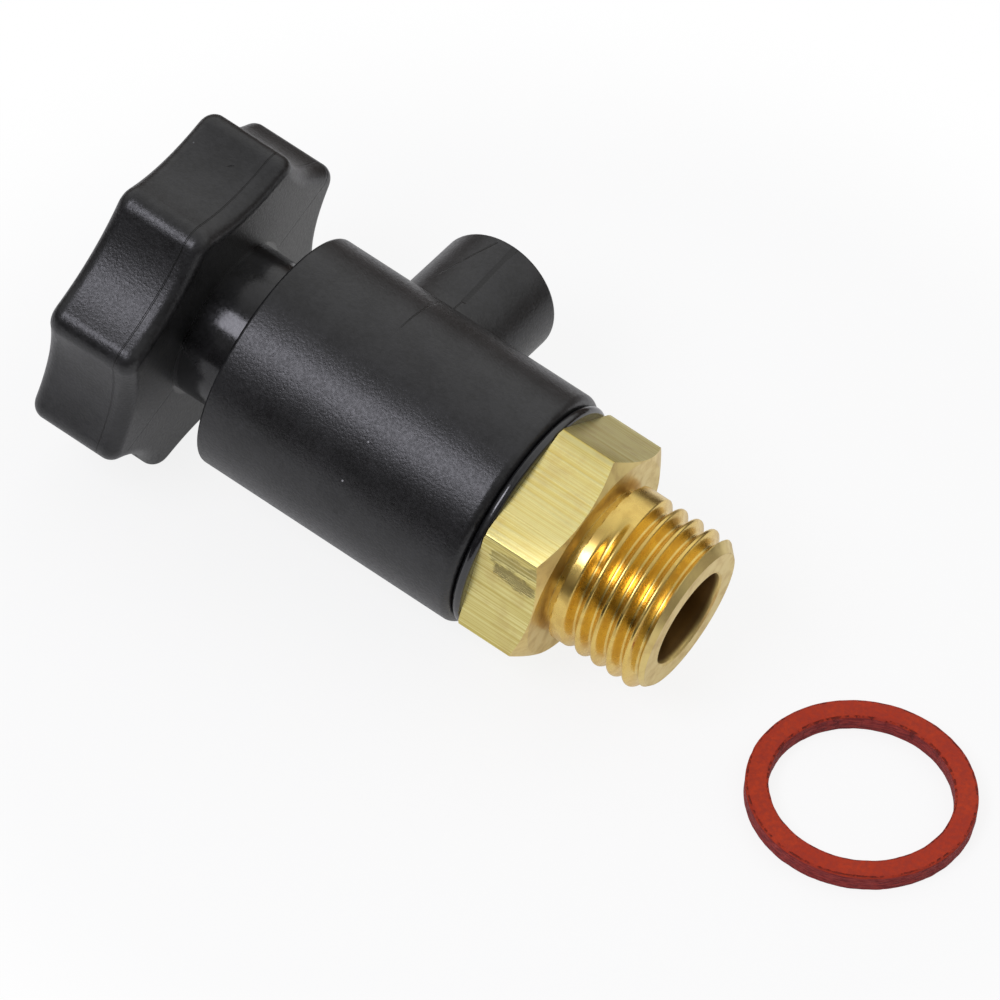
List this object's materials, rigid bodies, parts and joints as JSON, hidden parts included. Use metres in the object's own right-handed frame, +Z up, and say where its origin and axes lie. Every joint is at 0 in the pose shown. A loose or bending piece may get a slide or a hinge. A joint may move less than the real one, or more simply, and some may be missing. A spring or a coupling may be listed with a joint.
{
  "type": "drain cock",
  "caption": "Screw-down drain cock lying on its side: lobed knob, plastic barrel with a side spout, brass hexagon and male thread, and a loose sealing washer.",
  "frame": {"origin": "on the table, under the middle of the box round the cock and its loose washer", "axes": "+X along the table from the knob towards the thread and the washer, +Y the side that the spout points to, +Z up from the table"},
  "size_m": [0.081, 0.033, 0.0285],
  "materials": {
    "brass": "machined, satin",
    "steel": "satin",
    "rubber": "matte",
    "glossy_black": "gloss",
    "satin_black": "satin, finely grained",
    "knob_black": "satin, finely grained",
    "vulcanised_fibre": "matte"
  },
  "bodies": {
    "fitting": {"brass_fitting": "brass", "inner_stem_ring": "rubber", "outer_stem_ring": "rubber", "snap_ring": "steel", "slip_washer": "glossy_black"},
    "housing": {"body_housing": "satin_black", "threaded_bush": "brass", "gland_ring": "rubber"},
    "valve": {"valve_head": "brass", "seat_seal": "rubber", "seal_screw": "steel"},
    "knob": {"star_knob": "knob_black", "spindle": "brass", "stop_clip": "steel"},
    "washer": {"sealing_washer": "vulcanised_fibre"}
  },
  "joints": [
    {"name": "swivel", "type": "hinge", "parent": "fitting", "child": "housing", "pos_m": [-0.01671, -0.0025, 0.01239], "axis": [0.995, 0, -0.1], "continuous": true},
    {"name": "valve_lift", "type": "slide", "parent": "housing", "child": "valve", "axis": [-0.995, 0, 0.1], "range_m": [0, 0.003]},
    {"name": "knob_turn", "type": "hinge", "parent": "valve", "child": "knob", "pos_m": [-0.01671, -0.0025, 0.01239], "axis": [-0.995, 0, 0.1], "range_deg": [0, 720]},
    {"name": "washer_lift", "type": "slide", "parent": "fitting", "child": "washer", "axis": [0, 0, 1], "range_m": [0, 0.02]}
  ],
  "couplings": [
    {"joint": "valve_lift", "follows": "knob_turn", "m_per_rad": 0.00023873}
  ]
}
